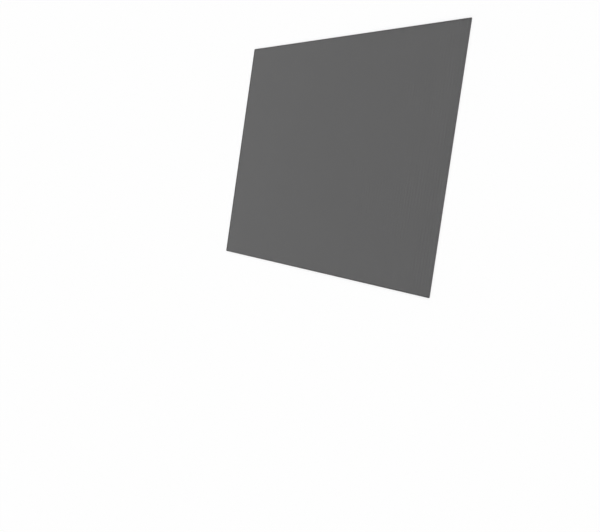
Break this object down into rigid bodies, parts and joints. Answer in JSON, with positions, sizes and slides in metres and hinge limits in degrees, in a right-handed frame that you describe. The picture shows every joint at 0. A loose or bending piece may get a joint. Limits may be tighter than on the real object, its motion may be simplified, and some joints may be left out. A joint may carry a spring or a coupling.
{
  "type": "laptop privacy filter",
  "caption": "Thin frameless rectangular sheet of dark see-through louvre film that lies over a laptop screen and hides it from the side.",
  "frame": {"origin": "centre of the back face, which lies on the table or against the screen", "axes": "+X along the long side to the viewer's right, +Y towards the top edge, +Z out of the front face"},
  "size_m": [0.332, 0.2074, 0.0005],
  "materials": {
    "louvre_film": "satin"
  },
  "bodies": {
    "root": {"filter_sheet": "louvre_film"}
  },
  "joints": []
}
